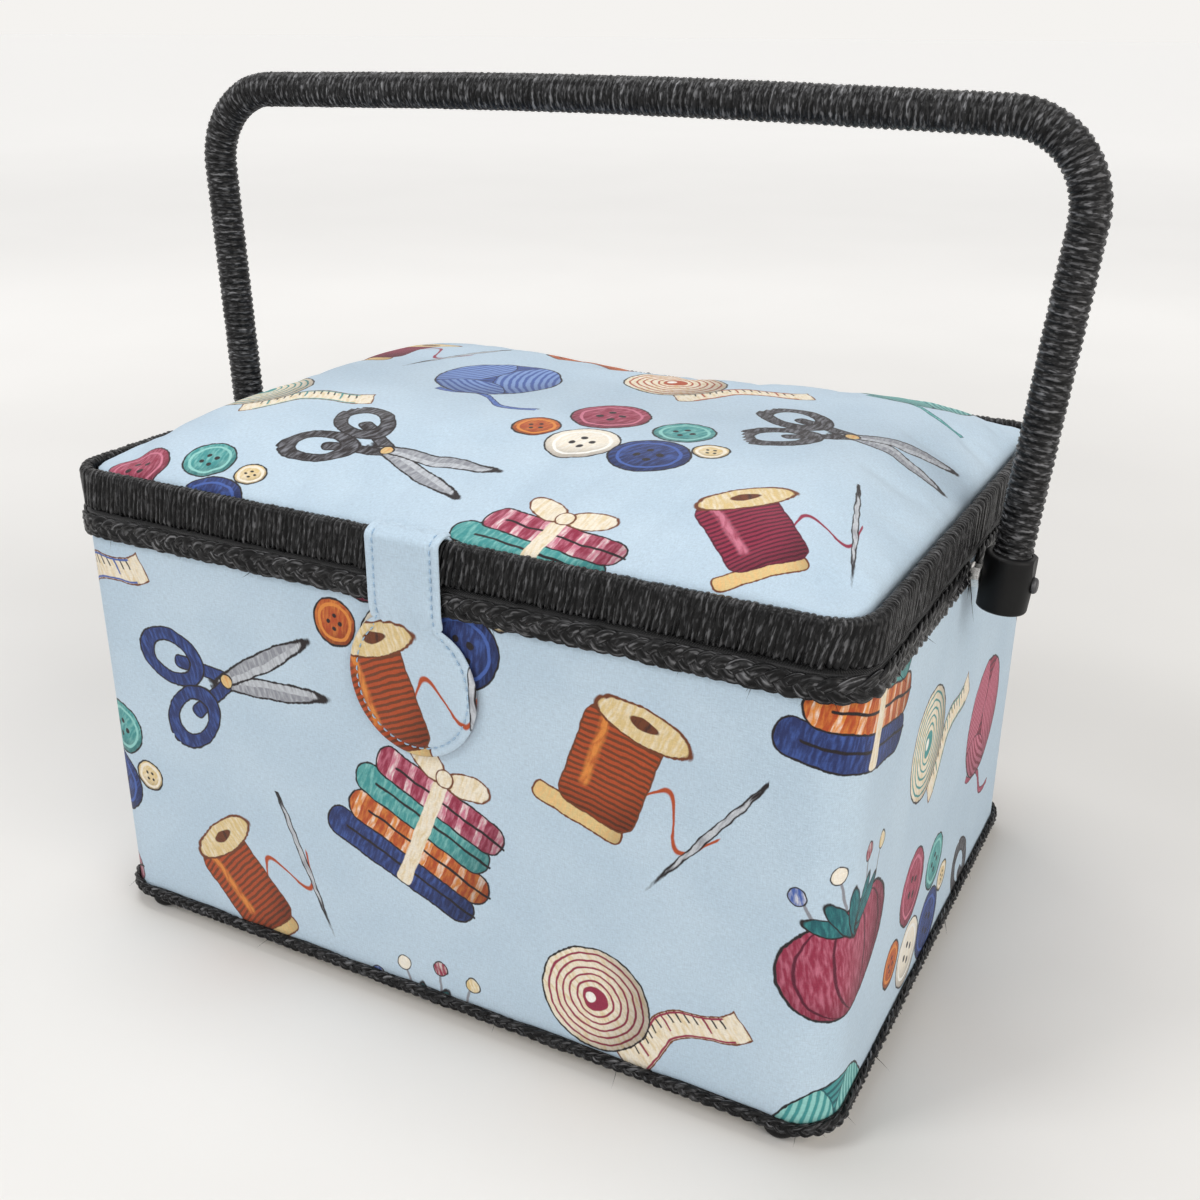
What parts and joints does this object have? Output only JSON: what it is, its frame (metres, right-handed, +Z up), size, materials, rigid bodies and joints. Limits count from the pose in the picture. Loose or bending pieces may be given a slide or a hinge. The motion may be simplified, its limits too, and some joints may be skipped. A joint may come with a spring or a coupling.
{
  "type": "sewing box",
  "caption": "Rectangular fabric-covered sewing box with padded hinged lid, wrapped swing handle, tab closure, braid trims and lift-out compartment tray.",
  "frame": {"origin": "on the floor under the middle of the body", "axes": "+X across the front, towards the viewer's right when facing the tab; +Y towards the hinges at the back; +Z up"},
  "size_m": [0.357, 0.2422, 0.3159],
  "materials": {
    "fibreboard": "raw hardboard",
    "printed_cotton": "light blue printed cotton",
    "plain_lining": "plain off-white cotton",
    "elastic": "gathered elastic edge",
    "ribbon": "black grosgrain",
    "padding": "polyester wadding",
    "raffia": "dyed black paper raffia",
    "black_plastic": "satin moulded",
    "tray_plastic": "moulded",
    "rail_wood": "plain strip",
    "steel": "zinc plated",
    "black_steel": "blackened head, bright shank"
  },
  "bodies": {
    "box": {"base_board": "fibreboard", "base_cover": "plain_lining", "base_pad": "plain_lining", "box_wall": "fibreboard", "keeper_disc": "steel", "wall_cover": "printed_cotton", "wall_lining": "plain_lining", "top_braid": "raffia", "top_braid_back": "raffia", "bottom_braid": "raffia", "foot_front_left": "black_plastic", "foot_front_right": "black_plastic", "foot_back_left": "black_plastic", "foot_back_right": "black_plastic", "tray_rail_front": "rail_wood", "tray_rail_back": "rail_wood", "hinge_lower_leaf_left": "steel", "hinge_lower_leaf_right": "steel", "hinge_pin_left": "steel", "hinge_pin_right": "steel", "hinge_screw_lower_left_a": "steel", "hinge_screw_lower_left_b": "steel", "hinge_screw_lower_right_a": "steel", "hinge_screw_lower_right_b": "steel", "pivot_inner_washer_left": "steel", "pivot_inner_washer_right": "steel", "lid_stay_ribbon": "ribbon"},
    "lid": {"lid_frame": "fibreboard", "lid_rim_wrap": "raffia", "lid_panel": "fibreboard", "lid_padding": "padding", "lid_cover": "printed_cotton", "lid_lining": "plain_lining", "lid_pocket": "plain_lining", "pocket_elastic": "elastic", "pincushion": "printed_cotton", "tab_anchor": "printed_cotton", "hinge_upper_leaf_left": "steel", "hinge_upper_leaf_right": "steel", "hinge_screw_upper_left_a": "steel", "hinge_screw_upper_left_b": "steel", "hinge_screw_upper_right_a": "steel", "hinge_screw_upper_right_b": "steel"},
    "tab": {"closure_tab": "printed_cotton", "tab_magnet": "steel"},
    "pivots": {"pivot_bolt_left": "black_steel", "pivot_bolt_right": "black_steel", "pivot_flange_nut_left": "steel", "pivot_flange_nut_right": "steel", "pivot_inner_nut_left": "steel", "pivot_inner_nut_right": "steel"},
    "handle": {"handle_core": "steel", "handle_wrap": "raffia", "handle_cap_left": "black_plastic", "handle_cap_right": "black_plastic"},
    "tray": {"tray_shell": "tray_plastic", "tray_divider_left": "tray_plastic", "tray_divider_right": "tray_plastic"}
  },
  "joints": [
    {"name": "lid_open", "type": "hinge", "parent": "box", "child": "lid", "pos_m": [0, 0.1196, 0.1684], "axis": [-1, 0, 0], "range_deg": [0, 100], "deforming": ["lid_stay_ribbon"]},
    {"name": "tab_lift", "type": "hinge", "parent": "lid", "child": "tab", "pos_m": [0, -0.1183, 0.1865], "axis": [-1, 0, 0], "range_deg": [0, 110]},
    {"name": "pivots_turn", "type": "hinge", "parent": "box", "child": "pivots", "pos_m": [0, -0.0031, 0.1608], "axis": [-1, 0, 0], "range_deg": [0, 110]},
    {"name": "handle_swing", "type": "hinge", "parent": "pivots", "child": "handle", "pos_m": [0, -0.0031, 0.1608], "axis": [-1, 0, 0], "range_deg": [-120, 0]},
    {"name": "tray_lift", "type": "slide", "parent": "box", "child": "tray", "axis": [0, 0, 1], "range_m": [0, 0.008]}
  ],
  "couplings": [
    {"joint": "pivots_turn", "follows": "lid_open", "ratio": 1.1}
  ]
}
